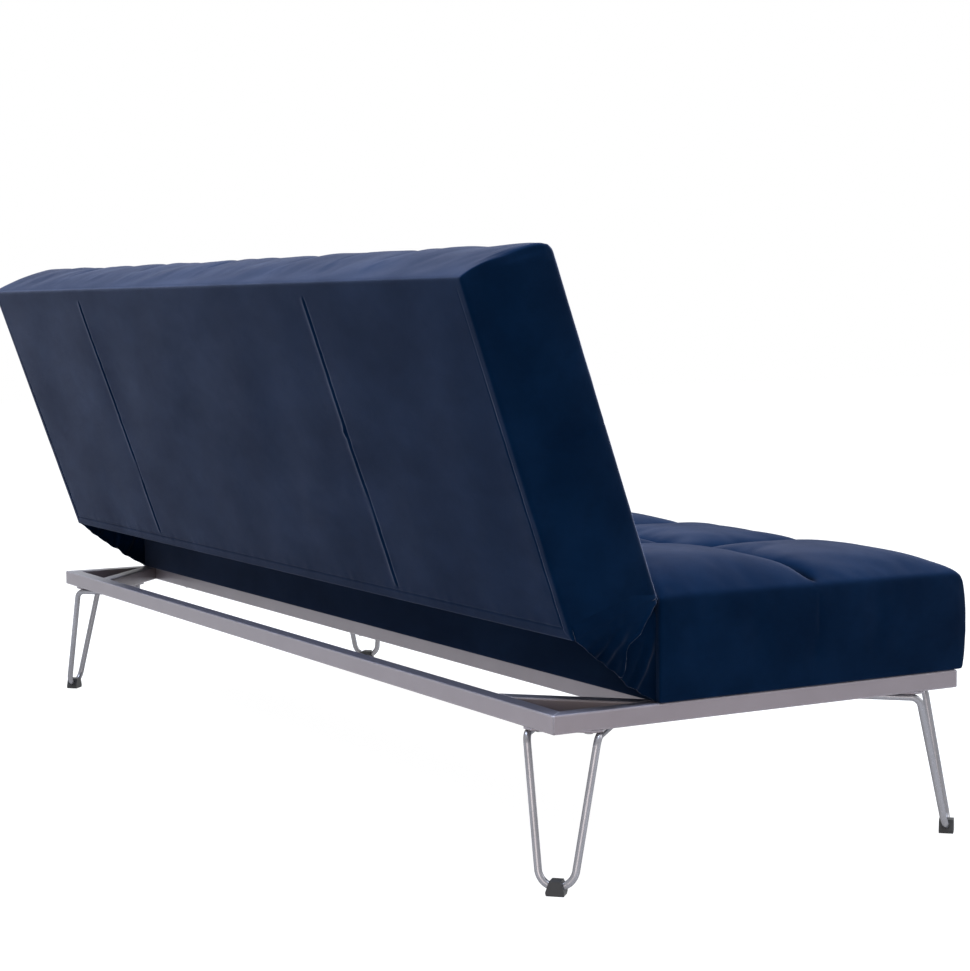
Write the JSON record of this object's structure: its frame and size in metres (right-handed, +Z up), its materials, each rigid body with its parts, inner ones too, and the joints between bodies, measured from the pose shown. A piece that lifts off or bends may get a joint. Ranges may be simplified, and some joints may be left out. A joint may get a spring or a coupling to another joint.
{
  "type": "futon sofa bed",
  "caption": "Armless click-clack sofa bed: tufted velvet seat and reclining back on a square-tube steel base with hairpin legs.",
  "frame": {"origin": "on the floor, at the centre of the bounding box of the sofa with its back upright", "axes": "+X along the sofa, towards the sitter's left; -Y to the front; +Z up"},
  "size_m": [1.842, 0.8052, 0.8179],
  "materials": {
    "frame_paint": "satin",
    "leg_steel": "satin",
    "foot_plastic": "matte",
    "zinc": "satin",
    "timber": "matte",
    "webbing": "matte",
    "foam": "matte",
    "velvet": "matte",
    "dust_cloth": "matte"
  },
  "bodies": {
    "base": {"base_front_rail": "frame_paint", "base_rear_rail": "frame_paint", "base_left_rail": "frame_paint", "base_right_rail": "frame_paint", "base_mid_rail": "frame_paint", "corner_brace_front_left": "frame_paint", "leg_plate_front_left": "frame_paint", "leg_rod_front_left": "leg_steel", "foot_cap_front_left": "foot_plastic", "corner_brace_front_right": "frame_paint", "leg_plate_front_right": "frame_paint", "leg_rod_front_right": "leg_steel", "foot_cap_front_right": "foot_plastic", "corner_brace_rear_left": "frame_paint", "leg_plate_rear_left": "frame_paint", "leg_rod_rear_left": "leg_steel", "foot_cap_rear_left": "foot_plastic", "corner_brace_rear_right": "frame_paint", "leg_plate_rear_right": "frame_paint", "leg_rod_rear_right": "leg_steel", "foot_cap_rear_right": "foot_plastic", "plate_bolts": "zinc", "seat_bolts": "zinc", "seat_hinge_timber": "timber", "seat_free_timber": "timber", "seat_end_timber_left": "timber", "seat_end_timber_right": "timber", "seat_cross_timbers": "timber", "seat_straps": "webbing", "seat_foam": "foam", "seat_cover": "velvet", "seat_dust_cover": "dust_cloth", "hinge_seat_arm_left": "zinc", "hinge_cup_left": "zinc", "hinge_pin_left": "zinc", "end_gusset_left": "velvet", "hinge_seat_arm_right": "zinc", "hinge_cup_right": "zinc", "hinge_pin_right": "zinc", "end_gusset_right": "velvet", "hinge_seat_bolts": "zinc"},
    "backrest": {"back_hinge_timber": "timber", "back_free_timber": "timber", "back_end_timber_left": "timber", "back_end_timber_right": "timber", "back_cross_timbers": "timber", "back_straps": "webbing", "back_foam": "foam", "back_cover": "velvet", "back_rear_panel": "velvet", "hinge_back_arm_left": "zinc", "hinge_back_arm_right": "zinc", "hinge_back_bolts": "zinc"}
  },
  "joints": [
    {"name": "back_recline", "type": "hinge", "parent": "base", "child": "backrest", "pos_m": [0, 0.11836, 0.3658], "axis": [-1, 0, 0], "range_deg": [-12, 70.8], "deforming": ["end_gusset_left", "end_gusset_right"]}
  ]
}
